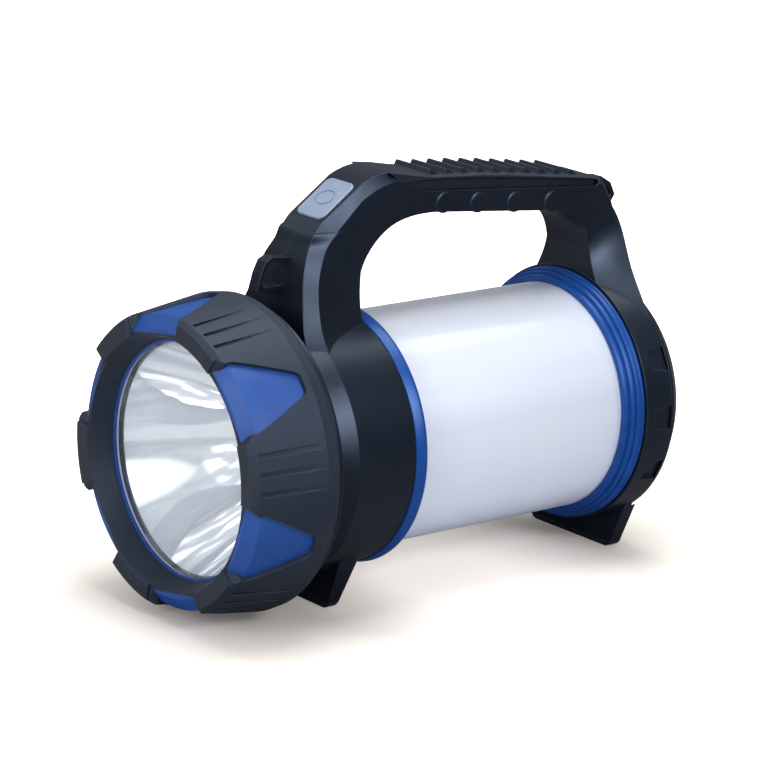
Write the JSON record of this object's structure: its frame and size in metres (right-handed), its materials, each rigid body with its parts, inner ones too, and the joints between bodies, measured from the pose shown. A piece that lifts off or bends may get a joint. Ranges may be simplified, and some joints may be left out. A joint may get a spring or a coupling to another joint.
{
  "type": "handled camping spotlight and lantern",
  "caption": "Handled camping lamp: lobed spotlight bezel in front, milky lantern tube with blue rings, carrying grip with a push button, feet and strap eyes.",
  "frame": {"origin": "on the ground under the middle of the lamp, in its mid-plane", "axes": "beam and bezel towards -Y, lamp axis along Y, handle up towards +Z, X across the lamp"},
  "size_m": [0.1356, 0.2454, 0.1823],
  "materials": {
    "black_plastic": "fine satin grain",
    "black_rubber": "matt",
    "blue_plastic": "satin",
    "button_plastic": "satin",
    "milky_plastic": "smooth, lets light through",
    "white_plastic": "satin",
    "reflector_chrome": "mirror bright",
    "clear_lens": "clear",
    "board_green": "satin",
    "sink_aluminium": "brushed",
    "contact_metal": "plain",
    "cell_jacket": "smooth",
    "emitter_yellow": "smooth",
    "screw_steel": "plain"
  },
  "bodies": {
    "housing": {"housing_left": "black_plastic", "housing_right": "black_plastic", "foot_pads": "black_rubber", "grip_insert": "black_rubber", "front_strap_loop": "black_plastic", "rear_strap_loop": "black_plastic", "case_screws": "screw_steel", "head_frame": "black_plastic", "reflector": "reflector_chrome", "lamp_emitter": "emitter_yellow", "lamp_board": "sink_aluminium", "heat_sink": "sink_aluminium", "front_bulkhead": "white_plastic", "back_bulkhead": "white_plastic", "front_ring": "blue_plastic", "back_ring": "blue_plastic", "diffuser": "milky_plastic", "core_column": "white_plastic", "strip_boards": "board_green", "strip_chips": "emitter_yellow", "battery_carrier": "white_plastic", "battery_cells": "cell_jacket", "carrier_contacts": "contact_metal", "control_board": "board_green", "switch": "black_plastic"},
    "button": {"button_cap": "button_plastic"},
    "bezel_slip_ring": {"bezel_washer": "white_plastic"},
    "bezel": {"bezel_overmould": "black_rubber", "bezel_inner": "blue_plastic", "lens": "clear_lens", "lens_gasket": "black_rubber"},
    "cap_slip_ring": {"cap_seal": "black_rubber"},
    "cap": {"end_cap": "black_plastic", "cap_contact": "contact_metal"}
  },
  "joints": [
    {"name": "button_press", "type": "slide", "parent": "housing", "child": "button", "axis": [0, 0.5799, -0.8147], "range_m": [0, 0.0012], "stiffness_N_per_m": 500},
    {"name": "bezel_travel", "type": "slide", "parent": "housing", "child": "bezel_slip_ring", "axis": [0, -1, 0], "range_m": [0, 0.0051]},
    {"name": "bezel_turn", "type": "hinge", "parent": "bezel_slip_ring", "child": "bezel", "pos_m": [0, -0.08065, 0.0682], "axis": [0, -1, 0], "range_deg": [0, 360]},
    {"name": "cap_travel", "type": "slide", "parent": "housing", "child": "cap_slip_ring", "axis": [0, 1, 0], "range_m": [0, 0.0041]},
    {"name": "cap_turn", "type": "hinge", "parent": "cap_slip_ring", "child": "cap", "pos_m": [0, 0.11135, 0.0682], "axis": [0, 1, 0], "range_deg": [0, 360]}
  ],
  "couplings": [
    {"joint": "bezel_travel", "follows": "bezel_turn", "m_per_rad": 0.00079577},
    {"joint": "cap_travel", "follows": "cap_turn", "m_per_rad": 0.00063662}
  ]
}
